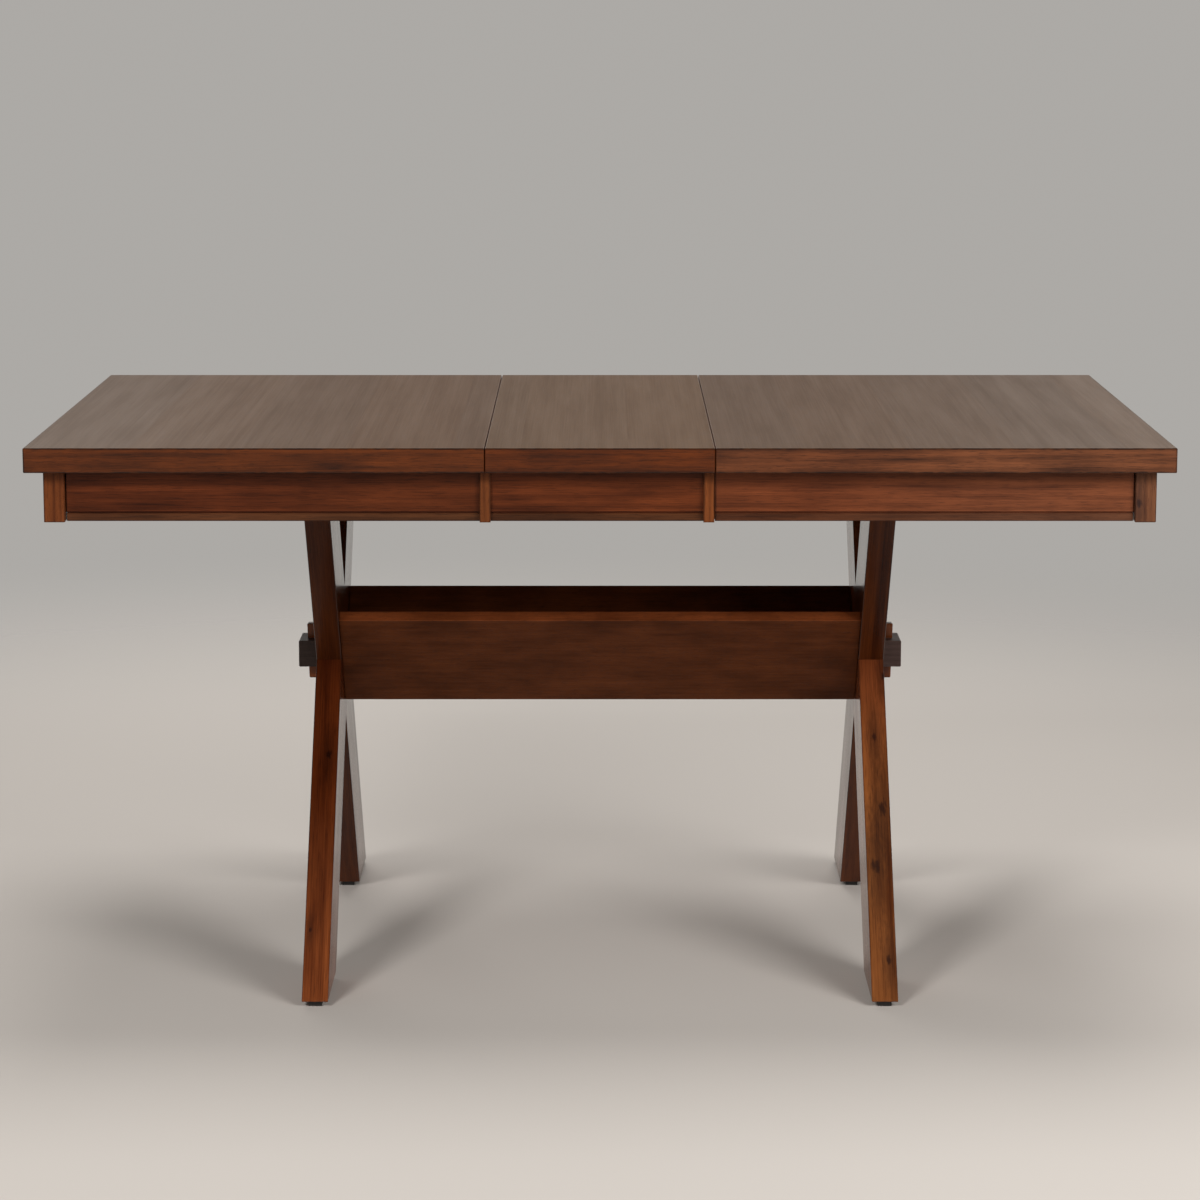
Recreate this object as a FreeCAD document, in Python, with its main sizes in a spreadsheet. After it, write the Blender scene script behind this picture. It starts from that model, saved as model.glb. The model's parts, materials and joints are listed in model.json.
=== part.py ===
import FreeCAD, Part
import math
import os
import re

import Sketcher

# Sawbuck extension table: an X of half-lapped legs at each end, a V trough on a wedged stretcher,
# and a top in two sliding halves with a leaf that lifts out.
# Millimetres. X runs along the table, Y to the back, Z up, with the origin on the floor in the middle.

sizes = {
    # top
    "top_length": 1524,         # with the leaf in
    "top_width": 914,
    "top_thickness": 33,
    "table_height": 770,
    "edge_round": 1.5,          # of the slabs
    "leaf_width": 304,
    "seam_gap": 1,              # between the leaf and each half
    # aprons, corner posts and cover stiles
    "overhang": 23,             # of the top, past the posts
    "apron_height": 68,
    "apron_thickness": 20,
    "apron_recess": 6,          # behind the faces of posts and stiles
    "stub_length": 6,           # apron's stub tenon in the post
    "stub_thickness": 10,
    "stub_margin": 12,          # stub tenon's shoulders, above and below
    "post_width": 28,
    "post_drop": 1,             # posts and stiles end this far below the aprons
    "post_reveal": 2,           # shadow gap beside each post
    "post_round": 1.2,
    "bead_height": 10.5,
    "groove_width": 2.5,
    "groove_depth": 2.5,
    "arris": 0.8,
    "stile_width": 14.5,
    "stile_lap": 6.5,           # of a half's stile over the leaf's apron
    "strip_width": 16,          # behind the seam that no half's stile covers
    "strip_thickness": 8,
    "strip_lap": 6,             # past the half's edge
    "corner_block_side": 66,
    "corner_block_height": 40,
    "corner_block_relief": 6,
    # X legs
    "leg_outer": 356,           # legs' outer faces, in from the ends of the top
    "leg_thickness": 36,
    "leg_width": 123,
    "leg_angle": 40,            # from upright
    "crossing_height": 418,
    "leg_round": 1.5,
    "glide_height": 7,
    "glide_side_inset": 9,
    "glide_end_inset": 7,
    # trough and stretcher
    "trough_bottom": 60.5,      # inside corner of the V, below the crossing
    "board_thickness": 17,
    "board_width": 178,
    "board_joint_gap": 0.5,
    "board_round": 1.2,
    "beam_below": 30,           # beam's lower and upper faces from the crossing
    "beam_above": 24,
    "tenon_width": 66,
    "tenon_height": 38,
    "tenon_reach": 29,          # past the leg's outer face
    "tenon_round": 2,           # of the tenon's and the wedge's showing ends
    "wedge_height": 80,
    "wedge_thickness": 16,
    "wedge_top": 18.5,
    "wedge_bottom": 16,
    "wedge_relief": 3,          # mortise behind the leg's outer face
    "fit_clear": 0.15,
    # bearers, rails and slides
    "bearer_width": 56,
    "bearer_height": 32,
    "bearer_reach": 60,         # past the leg heads' middles
    "bearer_taper": 30,
    "rail_width": 32,
    "rail_height": 45,
    "rail_inset": 13,           # rail's middle from the leg head's middle
    "rail_end_gap": 16,         # to the end apron with the halves pushed together
    "slide_width": 24,
    "slide_height": 43,
    "slide_clear": 0.4,
    "slide_setback": 12,
    "slide_travel": 50,
    "tongue_depth": 8,
    "tongue_height": 14,
    "stop_length": 25,
    "stop_height": 18,
    "stop_gap": 0.5,
    "batten_width": 40,
    "batten_height": 18,
    "batten_offset": 70,
    "batten_end_gap": 5,
    # leaf locks
    "lock_inset": 26,           # pivot from the half's edge
    "lock_reach": 44,           # pivot to stud
    "lock_plate_length": 50,
    "lock_plate_width": 44,
    "lock_plate_thickness": 3,
    "lock_screw_length": 16,
    "lever_width": 22,
    "lever_thickness": 5,
    "lever_tail": 24,
    "lever_tip": 7,             # past the slot
    "lever_gap": 0.4,
    "pivot_diameter": 8,
    "pivot_clear": 0.06,
    "pin_head_diameter": 14,
    "pin_head_height": 3,
    "stud_diameter": 6,
    "stud_clear": 0.4,
    "stud_swing": 1.8,          # extra room on the pivot's side of the slot
    "stud_depth": 14,
    # screws and bolts
    "screw_diameter": 4.5,
    "screw_head": 9,
    "screw_head_height": 3,
    "screw_length": 38,
    "screw_bite": 14,           # into the top
    "glide_screw_length": 24,
    "glide_screw_spacing": 90,
    "small_screw_diameter": 3.5,
    "small_screw_head": 7,
    "small_screw_head_height": 2.2,
    "bolt_diameter": 8,
    "bolt_head": 16,
    "bolt_head_height": 6,
    "bearer_bolt_length": 80,
    "bearer_bolt_recess": 1,
    "bearer_bolt_near": 60,     # from the leg head's middle, on the table's side
    "bearer_bolt_far": 24,
    "rail_bolt_length": 115,
    "rail_bolt_recess": 14,
    "rail_bolt_shift": 3,
    "screw_clear": 0.05,
}

under_top = "(table_height - top_thickness)"
apron_bottom = f"({under_top} - apron_height)"
post_face = "(top_width / 2 - overhang)"
post_end = "(top_length / 2 - overhang)"
apron_face = f"({post_face} - apron_recess)"
apron_middle = f"({apron_face} - apron_thickness / 2)"
apron_back = f"({apron_face} - apron_thickness)"
end_middle = f"({post_end} - apron_recess - apron_thickness / 2)"
end_back = f"({post_end} - apron_recess - apron_thickness)"
leaf_half = "(leaf_width / 2)"
half_start = "(leaf_width / 2 + seam_gap)"
half_length = f"(top_length / 2 - {half_start})"

leg_slope = "tan(leg_angle)"
leg_depth = "(leg_width / cos(leg_angle))"
leg_face = "(top_length / 2 - leg_outer)"
leg_middle = f"({leg_face} - leg_thickness / 2)"
leg_inner = f"({leg_face} - leg_thickness)"
trough_low = "(crossing_height - trough_bottom)"
rail_top = f"({under_top} - slide_clear)"
rail_bottom = f"({rail_top} - rail_height)"
leg_top = f"({rail_bottom} - bearer_height)"
leg_head = f"(({leg_top} - crossing_height) * {leg_slope})"
leg_foot = f"((crossing_height - glide_height) * {leg_slope})"
rail_middle = f"({leg_head} - rail_inset)"
rail_outer = f"({rail_middle} + rail_width / 2)"
slide_inner = f"({rail_outer} + slide_clear)"
slide_middle = f"({slide_inner} + slide_width / 2)"
slide_bottom = f"({under_top} - slide_height)"
tongue_middle = f"({rail_bottom} + rail_height / 2)"
slide_start = f"({half_start} + slide_setback)"
slide_end = f"({end_back} - slide_setback)"
lock_pivot = f"({half_start} + lock_inset)"
lock_stud = f"({lock_pivot} - lock_reach)"
plate_bottom = f"({under_top} - lock_plate_thickness)"
lever_top = f"({plate_bottom} - lever_gap)"
pin_head_top = f"({lever_top} - lever_thickness - lever_gap)"

doc = FreeCAD.newDocument("SawbuckTable")
sheet = doc.addObject("Spreadsheet::Sheet", "Sizes")
for row, (word, value) in enumerate(sizes.items(), 1):
    sheet.set(f"A{row}", word)
    sheet.set(f"B{row}", str(value))
    sheet.setAlias(f"B{row}", word)
doc.recompute()

pieces = {}
pockets = []
ends = (("left", -1), ("right", 1))
sides = (("front", -1), ("rear", 1))
overshoot = "1"                     # of a counterbore, past the face that it opens in
slide_screw_shares = (0.1, 0.5, 0.9)  # places along a slide


def formula(text):
    """Plain words of the sheet as an expression that reads its cells."""
    return re.sub("[a-z_]+", lambda found: "Sizes." + found[0] if found[0] in sizes else found[0], text)


def keep(name, item):
    item.Label = name
    pieces[name] = item
    return item


def place(item, x="0", y="0", z="0"):
    for axis, where in zip("xyz", (x, y, z)):
        item.setExpression("Placement.Base." + axis, formula(where))
    return item


def block(name, middle, size):
    """Square-cut board about its middle."""
    box = doc.addObject("Part::Box", name)
    for side, length in zip(("Length", "Width", "Height"), size):
        box.setExpression(side, formula(length))
    return place(box, *[f"{where} - ({length}) / 2" for where, length in zip(middle, size)])


def rod(name, x, y, bottom, length, diameter):
    """Upright round bar."""
    cylinder = doc.addObject("Part::Cylinder", name)
    cylinder.setExpression("Radius", formula(f"({diameter}) / 2"))
    cylinder.setExpression("Height", formula(length))
    return place(cylinder, x, y, bottom)


def joined(name, items):
    fuse = doc.addObject("Part::MultiFuse", name)
    fuse.Shapes = items
    fuse.Refine = True
    return fuse


def group(name, items):
    compound = doc.addObject("Part::Compound", name)
    compound.Links = items
    return compound


def cut_from(name, base, tools):
    cut = doc.addObject("Part::Cut", name)
    cut.Base = base
    cut.Tool = tools[0] if len(tools) == 1 else group(name + "_tools", tools)
    return cut


def outline(body, plane, corners):
    """Closed outline on one of the body's origin planes, each corner held by two bound distances.
    The corners are drawn on a ring in their order, and the distances then move them to their places."""
    sketch = body.newObject("Sketcher::SketchObject", body.Name + "_outline")
    support = [item for item in body.Origin.OriginFeatures if item.Role == plane + "_Plane"]
    sketch.AttachmentSupport = (support[0], [""])
    sketch.MapMode = "FlatFace"
    count = len(corners)
    turns = [2 * math.pi * number / count for number in range(count)]
    ring = [FreeCAD.Vector(math.cos(turn), math.sin(turn), 0) for turn in turns]
    for number in range(count):
        sketch.addGeometry(Part.LineSegment(ring[number], ring[(number + 1) % count]))
    for number in range(count):
        sketch.addConstraint(Sketcher.Constraint("Coincident", number, 2, (number + 1) % count, 1))
    for number, corner in enumerate(corners):
        for kind, place_on_ring, distance in zip(("DistanceX", "DistanceY"), ring[number], corner):
            index = sketch.addConstraint(Sketcher.Constraint(kind, -1, 1, number, 1, place_on_ring))
            sketch.setExpression(f"Constraints[{index}]", formula(distance))
    return sketch


def pad(body, plane, corners, length):
    feature = body.newObject("PartDesign::Pad", body.Name + "_pad")
    feature.Profile = outline(body, plane, corners)
    feature.SideType = "Symmetric"
    feature.setExpression("Length", formula(length))
    return feature


def pocket(body, plane, corners, length, way=0):
    """Cut about the plane, or to one side of it: way 1 is along the plane's normal, -1 against it."""
    feature = body.newObject("PartDesign::Pocket", body.Name + "_pocket")
    feature.Profile = outline(body, plane, corners)
    feature.SideType = "One side" if way else "Symmetric"
    feature.Reversed = way > 0
    feature.setExpression("Length", formula(length))
    pockets.append(feature)
    return feature


def profile(name, plane, corners, length):
    """Straight bar of one section."""
    body = doc.addObject("PartDesign::Body", name)
    pad(body, plane, corners, length)
    return body


def soften(body, radius, pick=lambda edge, box: True):
    """Rounds the picked edges of the body as it stands."""
    doc.recompute()
    blank = body.Tip
    edges = enumerate(blank.Shape.Edges, 1)
    picked = [f"Edge{number}" for number, edge in edges if pick(edge, blank.Shape.BoundBox)]
    soft = body.newObject("PartDesign::Fillet", body.Name + "_soft")
    soft.Base = (blank, picked)
    soft.setExpression("Radius", formula(radius))
    body.Tip = soft
    return body


def at_ends(edge, box):
    """Edges of the two end faces of a bar along X."""
    return all(box.XMax - abs(corner.X) < 0.01 for corner in edge.Vertexes)


def at_face_corners(edge, box):
    """Upright edges of the face that looks away from the table."""
    face = max(abs(box.YMin), abs(box.YMax))
    upright = edge.BoundBox.ZLength > box.ZLength / 2
    return upright and all(face - abs(corner.Y) < 0.01 for corner in edge.Vertexes)


def rectangle(middle, size):
    (u, v), (du, dv) = middle, size
    signs = ((-1, -1), (1, -1), (1, 1), (-1, 1))
    return [(f"{u} + {a} * ({du}) / 2", f"{v} + {b} * ({dv}) / 2") for a, b in signs]


def fastener(name, x, y, seat, way, length, shank, head, head_height, clear="0", sink="0"):
    """Headed bar along Z from its seat, way 1 upwards or -1 downwards; with a clearance, its hole."""
    shank_size = f"{shank} + 2 * {clear}"
    head_size = f"{head} + 2 * {clear}"
    head_length = f"({head_height} + {clear} + {sink})"
    if way > 0:
        bar = rod(name + "_shank", x, y, seat, f"{length} + {clear}", shank_size)
        cap = rod(name + "_head", x, y, f"{seat} - {sink}", head_length, head_size)
    else:
        bar = rod(name + "_shank", x, y, f"{seat} - {length} - {clear}", f"{length} + {clear}", shank_size)
        cap = rod(name + "_head", x, y, f"{seat} - {head_height} - {clear}", head_length, head_size)
    return joined(name, [bar, cap])


def fasteners(name, spots, way, length, kind, sinks=None):
    """One node of like screws at (x, y, seat) spots, and the holes that they go in."""
    sinks = sinks or ["0"] * len(spots)
    dims = (f"{kind}_diameter", f"{kind}_head", f"{kind}_head_height")
    solids = []
    holes = []
    for number, (spot, sink) in enumerate(zip(spots, sinks), 1):
        solids.append(fastener(f"{name}_{number}", *spot, way, length, *dims))
        holes.append(fastener(f"{name}_hole_{number}", *spot, way, length, *dims, "screw_clear", sink))
    keep(name, group(name, solids))
    return holes


def leg_outline(lean, bottom, top):
    """Slanting plank between two heights; lean 1 rises to the back."""
    corners = []
    for height, order in ((bottom, (-1, 1)), (top, (1, -1))):
        for side in order:
            across = f"{lean} * ({height} - crossing_height) * {leg_slope} + {side} * {leg_depth} / 2"
            corners.append((across, height))
    return corners


def make_glides():
    glides = []
    spots = []
    for end, along in ends:
        for side, across in sides:
            foot = f"{across} * {leg_foot}"
            glides.append(block(f"{end}_{side}_glide", (f"{along} * {leg_middle}", foot, "glide_height / 2"),
                                ("leg_thickness - 2 * glide_side_inset",
                                 f"{leg_depth} - 2 * glide_end_inset", "glide_height")))
            for step in (-1, 1):
                spots.append((f"{along} * {leg_middle}", f"{foot} + {step} * glide_screw_spacing / 2",
                              "glide_height / 2"))
    holes = fasteners("glide_screws", spots, 1, "glide_screw_length", "small_screw",
                      ["glide_height"] * len(spots))
    keep("foot_glides", cut_from("foot_glides", group("foot_glide_blanks", glides), holes))
    return holes


def make_bearers():
    """Cross bearers on the leg heads, and the bolts that tie bearer and rail down to the legs."""
    bearer_spots = []
    rail_spots = []
    for end, along in ends:
        for side, across in sides:
            for step in ("- bearer_bolt_near", "+ bearer_bolt_far"):
                bearer_spots.append((f"{along} * {leg_middle}", f"{across} * ({leg_head} {step})",
                                     f"{rail_bottom} - bearer_bolt_recess"))
            rail_spots.append((f"{along} * {leg_middle}", f"{across} * ({rail_middle} - rail_bolt_shift)",
                               f"{rail_top} - rail_bolt_recess"))
    bearer_holes = fasteners("bearer_bolts", bearer_spots, -1, "bearer_bolt_length", "bolt",
                             [f"bearer_bolt_recess + {overshoot}"] * len(bearer_spots))
    rail_holes = fasteners("rail_bolts", rail_spots, -1, "rail_bolt_length", "bolt",
                           [f"rail_bolt_recess + {overshoot}"] * len(rail_spots))
    reach = f"({leg_head} + bearer_reach)"
    section = []
    for across, order in ((-1, 1), (1, -1)):
        corners = [(f"{across} * {reach}", rail_bottom),
                   (f"{across} * {reach}", f"{leg_top} + bearer_height / 2"),
                   (f"{across} * ({reach} - bearer_taper)", leg_top)]
        section += corners[::order]
    for end, along in ends:
        name = f"{end}_bearer"
        blank = place(profile(name + "_blank", "YZ", section, "bearer_width"), f"{along} * {leg_middle}")
        keep(name, cut_from(name, blank, bearer_holes + rail_holes))
    return bearer_holes, rail_holes


def make_legs(holes):
    """Half-lapped pair at each end: the front leg keeps its inner half at the crossing."""
    for end, along in ends:
        for (side, lean), lap_way in zip((("front", 1), ("rear", -1)), (along, -along)):
            name = f"{end}_{side}_leg"
            body = profile(name + "_blank", "YZ", leg_outline(lean, "glide_height", leg_top), "leg_thickness")
            soften(body, "leg_round")
            lap = leg_outline(-lean, "crossing_height - leg_width", "crossing_height + leg_width")
            pocket(body, "YZ", lap, "leg_thickness / 2", lap_way)
            mortise = ("tenon_width + 2 * fit_clear", "tenon_height + 2 * fit_clear")
            pocket(body, "YZ", rectangle(("0", "crossing_height"), mortise), "2 * leg_thickness")
            place(body, f"{along} * {leg_middle}")
            keep(name, cut_from(name, body, holes))


def wedge_outline(along, clear):
    inner = leg_face if clear == "0" else f"({leg_face} - wedge_relief)"
    top = "crossing_height + wedge_height / 2"
    bottom = "crossing_height - wedge_height / 2"
    return [(f"{along} * {inner}", bottom), (f"{along} * ({leg_face} + wedge_bottom + {clear})", bottom),
            (f"{along} * ({leg_face} + wedge_top + {clear})", top), (f"{along} * {inner}", top)]


def make_stretcher():
    """Beam with slanting sides that carry the trough boards, its through tenons and their wedges."""
    beam_low = "(crossing_height - beam_below)"
    beam_high = "(crossing_height + beam_above)"
    half_low = f"(board_joint_gap / 2 + ({beam_low} - {trough_low}) * {leg_slope})"
    half_high = f"(board_joint_gap / 2 + ({beam_high} - {trough_low}) * {leg_slope})"
    section = [(f"-{half_low}", beam_low), (half_low, beam_low), (half_high, beam_high),
               (f"-{half_high}", beam_high)]
    beam = profile("stretcher_beam", "YZ", section, f"2 * {leg_inner}")
    pad(beam, "YZ", rectangle(("0", "crossing_height"), ("tenon_width", "tenon_height")),
        f"2 * ({leg_face} + tenon_reach)")
    soften(beam, "tenon_round", at_ends)
    for end, along in ends:
        pocket(beam, "XZ", wedge_outline(along, "fit_clear"), "wedge_thickness + 2 * fit_clear")
        name = f"{end}_wedge"
        wedge = profile(name, "XZ", wedge_outline(along, "0"), "wedge_thickness")
        keep(name, soften(wedge, "tenon_round"))
    keep("stretcher_beam", beam)
    rise, run = "cos(leg_angle)", "sin(leg_angle)"
    for side, across in sides:
        name = f"{side}_trough_board"
        edge = "board_joint_gap / 2"
        inner_low = (edge, trough_low)
        outer_low = (f"{edge} + board_thickness * {rise}", f"{trough_low} - board_thickness * {run}")
        section = [inner_low, outer_low]
        section += [(f"{y} + board_width * {run}", f"{z} + board_width * {rise}")
                    for y, z in (outer_low, inner_low)]
        section = [(f"{across} * ({y})", z) for y, z in section]
        board = profile(name, "YZ", section, f"2 * {leg_inner}")
        keep(name, soften(board, "board_round"))


def make_rails(holes):
    """Fixed rails over the bearers, grooved on their outer sides."""
    low = f"{tongue_middle} - tongue_height / 2 - slide_clear"
    high = f"{tongue_middle} + tongue_height / 2 + slide_clear"
    inner = f"({rail_middle} - rail_width / 2)"
    groove = f"({rail_outer} - tongue_depth)"
    for side, across in sides:
        name = f"{side}_rail"
        section = [(inner, rail_bottom), (rail_outer, rail_bottom), (rail_outer, low), (groove, low),
                   (groove, high), (rail_outer, high), (rail_outer, rail_top), (inner, rail_top)]
        section = [(f"{across} * {y}", z) for y, z in section]
        blank = profile(name + "_blank", "YZ", section, f"2 * ({end_back} - {leaf_half} - rail_end_gap)")
        keep(name, cut_from(name, blank, holes))


def apron_section(across, face):
    """Apron seen from its end: flat face, scored line and bead along the bottom."""
    line = f"({apron_bottom} + bead_height)"
    corners = [(f"{face} - arris", apron_bottom), (face, f"{apron_bottom} + arris"),
               (face, f"{line} - arris"), (f"{face} - arris", line), (f"{face} - groove_depth", line),
               (f"{face} - groove_depth", f"{line} + groove_width"), (face, f"{line} + groove_width"),
               (face, under_top), (f"{face} - apron_thickness", under_top),
               (f"{face} - apron_thickness", apron_bottom)]
    return [(f"{across} * ({u})", v) for u, v in corners]


def rounded_slab(name, x, length):
    slab = profile(name, "XY", rectangle(("0", "0"), (length, "top_width")), "top_thickness")
    soften(slab, "edge_round")
    return place(slab, x, "0", "table_height - top_thickness / 2")


def make_stile(name, turn, start, finish, edge=None):
    """Cover stile seated on its own apron and, past that apron's edge, clear of its neighbour's."""
    lap = f"({apron_face} + slide_clear)"
    corners = [(start, post_face), (finish, post_face)]
    corners += [(finish, lap), (edge, lap), (edge, apron_face)] if edge else [(finish, apron_face)]
    corners.append((start, apron_face))
    height = f"({under_top} - slide_clear - {apron_bottom} + post_drop)"
    stile = profile(name, "XY", [(f"{turn} * ({x})", f"{-turn} * {y}") for x, y in corners], height)
    soften(stile, "post_round", at_face_corners)
    keep(name, place(stile, z=f"{apron_bottom} - post_drop + {height} / 2"))


def make_seam_strip(name, along):
    """Strip inside the other seam, on its own apron's back and clear of the leaf's, that shuts the gap."""
    inner = f"({half_start} - strip_lap)"
    outer = f"({inner} + strip_width)"
    deep = f"({apron_back} - strip_thickness)"
    clear = f"({apron_back} - slide_clear)"
    corners = [(outer, apron_back), (outer, deep), (inner, deep), (inner, clear), (half_start, clear),
               (half_start, apron_back)]
    height = "(apron_height - slide_clear)"
    strip = profile(name, "XY", [(f"{along} * {x}", f"{-along} * {y}") for x, y in corners], height)
    keep(name, place(strip, z=f"{apron_bottom} + {height} / 2"))


def make_post(name, along, across):
    height = "(apron_height + post_drop)"
    x = f"({post_end} - post_width / 2)"
    y = f"({post_face} - post_width / 2)"
    blank = profile(name + "_blank", "XY", rectangle(("0", "0"), ("post_width", "post_width")), height)
    soften(blank, "post_round")
    place(blank, f"{along} * {x}", f"{across} * {y}", f"{under_top} - {height} / 2")
    middle = f"({under_top} - apron_height / 2)"
    thick = "stub_thickness + 2 * fit_clear"
    deep = "2 * (stub_length + fit_clear)"
    tall = "apron_height - 2 * stub_margin + 2 * fit_clear"
    long_way = block(name + "_long_mortise", (f"{along} * ({post_end} - post_width)",
                                              f"{across} * {apron_middle}", middle), (deep, thick, tall))
    cross_way = block(name + "_cross_mortise", (f"{along} * {end_middle}",
                                                f"{across} * ({post_face} - post_width)", middle),
                      (thick, deep, tall))
    keep(name, cut_from(name, blank, [long_way, cross_way]))


def make_long_apron(name, along, across):
    """Apron of one half, from the seam to the corner post, with a stub tenon in the post."""
    shoulder = f"({post_end} - post_width - post_reveal)"
    length = f"({shoulder} - {half_start})"
    board = profile(name + "_board", "YZ", apron_section(across, apron_face), length)
    place(board, f"{along} * ({half_start} + {length} / 2)")
    stub = block(name + "_stub", (f"{along} * {shoulder}", f"{across} * {apron_middle}",
                                  f"{under_top} - apron_height / 2"),
                 ("2 * (post_reveal + stub_length)", "stub_thickness", "apron_height - 2 * stub_margin"))
    keep(name, joined(name, [board, stub]))


def make_end_apron(name, along):
    shoulder = f"({post_face} - post_width - post_reveal)"
    section = apron_section(along, f"({post_end} - apron_recess)")
    board = profile(name + "_board", "XZ", section, f"2 * {shoulder}")
    stub = block(name + "_stub", (f"{along} * {end_middle}", "0", f"{under_top} - apron_height / 2"),
                 ("stub_thickness", f"2 * ({shoulder} + post_reveal + stub_length)",
                  "apron_height - 2 * stub_margin"))
    keep(name, joined(name, [board, stub]))


def corner_block(name, along, across):
    """Glue block across the inside of a corner, cut back clear of the post."""
    relief = "corner_block_relief"
    corners = [(f"{end_back} - {relief}", apron_back), (f"{end_back} - corner_block_side", apron_back),
               (end_back, f"{apron_back} - corner_block_side"), (end_back, f"{apron_back} - {relief}")]
    corners = [(f"{along} * ({x})", f"{across} * ({y})") for x, y in corners]
    body = profile(name, "XY", corners, "corner_block_height")
    return place(body, z=f"{under_top} - corner_block_height / 2")


def make_slide(name, along, across, holes):
    """Moving slide under a half, its tongue in the fixed rail's groove."""
    low = f"{tongue_middle} - tongue_height / 2"
    high = f"{tongue_middle} + tongue_height / 2"
    tip = f"({slide_inner} - tongue_depth)"
    outer = f"({slide_inner} + slide_width)"
    section = [(slide_inner, slide_bottom), (outer, slide_bottom), (outer, under_top),
               (slide_inner, under_top), (slide_inner, high), (tip, high), (tip, low), (slide_inner, low)]
    section = [(f"{across} * {y}", z) for y, z in section]
    blank = profile(name + "_blank", "YZ", section, f"{slide_end} - {slide_start}")
    place(blank, f"{along} * ({slide_start} + {slide_end}) / 2")
    keep(name, cut_from(name, blank, holes))


def lever_outline(turn):
    """Hook lever in plan, open: its slot faces the leaf's stud and meets it after a quarter turn."""
    half = "lever_width / 2"
    slot_low = "lock_reach - stud_diameter / 2 - stud_clear - stud_swing"
    slot_high = "(lock_reach + stud_diameter / 2 + stud_clear)"
    slot_end = "stud_diameter / 2 + 2 * stud_clear"
    tip = f"{slot_high} + lever_tip"
    corners = [(f"-{half}", "-lever_tail"), (half, "-lever_tail"), (half, tip), (f"-{half}", tip),
               (f"-{half}", slot_high), (slot_end, slot_high), (slot_end, slot_low), (f"-{half}", slot_low)]
    return [(f"{turn} * ({u})", f"{turn} * ({v})") for u, v in corners]


def make_lock(end, along):
    """Lock under a half's edge: plate, pivot pin, hook lever and screws. Returns the screw holes."""
    pivot = f"{along} * {lock_pivot}"
    spots = []
    for step_x in (-1, 1):
        for step_y in (-1, 1):
            spots.append((f"{pivot} + {step_x} * (lock_plate_length / 2 - small_screw_head)",
                          f"{step_y} * (lock_plate_width / 2 - small_screw_head)", plate_bottom))
    holes = fasteners(f"{end}_lock_screws", spots, 1, "lock_screw_length", "small_screw")
    blank = block(f"{end}_lock_plate_blank", (pivot, "0", f"{under_top} - lock_plate_thickness / 2"),
                  ("lock_plate_length", "lock_plate_width", "lock_plate_thickness"))
    keep(f"{end}_lock_plate", cut_from(f"{end}_lock_plate", blank, holes))
    shank = rod(f"{end}_lock_pin_shank", pivot, "0", pin_head_top, f"{plate_bottom} - {pin_head_top}",
                "pivot_diameter")
    head = rod(f"{end}_lock_pin_head", pivot, "0", f"{pin_head_top} - pin_head_height", "pin_head_height",
               "pin_head_diameter")
    keep(f"{end}_lock_pin", joined(f"{end}_lock_pin", [shank, head]))
    lever = profile(f"{end}_lock_lever_blank", "XY", lever_outline(along), "lever_thickness")
    place(lever, pivot, "0", f"{lever_top} - lever_thickness / 2")
    eye = rod(f"{end}_lock_lever_eye", pivot, "0", f"{lever_top} - 2 * lever_thickness",
              "3 * lever_thickness", "pivot_diameter + 2 * pivot_clear")
    keep(f"{end}_lock_lever", cut_from(f"{end}_lock_lever", lever, [eye]))
    return holes


def make_half(end, along):
    """One half of the top with its aprons, posts, corner blocks, slides, stops and lock."""
    seat = f"{under_top} + screw_bite - screw_length"
    spots = []
    sinks = []
    for _, across in sides:
        for share in slide_screw_shares:
            spots.append((f"{along} * ({slide_start} + ({slide_end} - {slide_start}) * {share})",
                          f"{across} * {slide_middle}", seat))
            sinks.append(f"({seat} - {slide_bottom} + {overshoot})")
        spots.append((f"{along} * ({end_back} - corner_block_side / 3)",
                      f"{across} * ({apron_back} - corner_block_side / 3)", seat))
        sinks.append(f"({seat} - {under_top} + corner_block_height + {overshoot})")
    holes = fasteners(f"{end}_top_screws", spots, 1, "screw_length", "screw", sinks)
    slab = rounded_slab(f"{end}_top_blank", f"{along} * ({half_start} + {half_length} / 2)", half_length)
    lock_holes = make_lock(end, along)
    keep(f"{end}_top", cut_from(f"{end}_top", slab, holes + lock_holes))
    blocks = []
    stops = []
    for side, across in sides:
        make_post(f"{end}_{side}_post", along, across)
        make_long_apron(f"{end}_{side}_apron", along, across)
        make_slide(f"{end}_{side}_slide", along, across, holes)
        blocks.append(corner_block(f"{end}_{side}_corner_block", along, across))
        stop_middle = f"({leg_middle} - bearer_width / 2 - slide_travel - stop_gap - stop_length / 2)"
        stops.append(block(f"{end}_{side}_stop", (f"{along} * {stop_middle}", f"{across} * {slide_middle}",
                                                  f"{slide_bottom} - stop_height / 2"),
                           ("stop_length", "slide_width", "stop_height")))
    make_end_apron(f"{end}_end_apron", along)
    corner_blanks = group(f"{end}_corner_blanks", blocks)
    keep(f"{end}_corner_blocks", cut_from(f"{end}_corner_blocks", corner_blanks, holes))
    keep(f"{end}_slide_stops", group(f"{end}_slide_stops", stops))
    stile_end = f"({leaf_half} - stile_lap)"
    make_stile(f"{end}_cover_stile", -along, f"-({stile_end} + stile_width)", f"-{stile_end}",
               f"-{half_start}")
    make_seam_strip(f"{end}_seam_strip", along)


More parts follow.
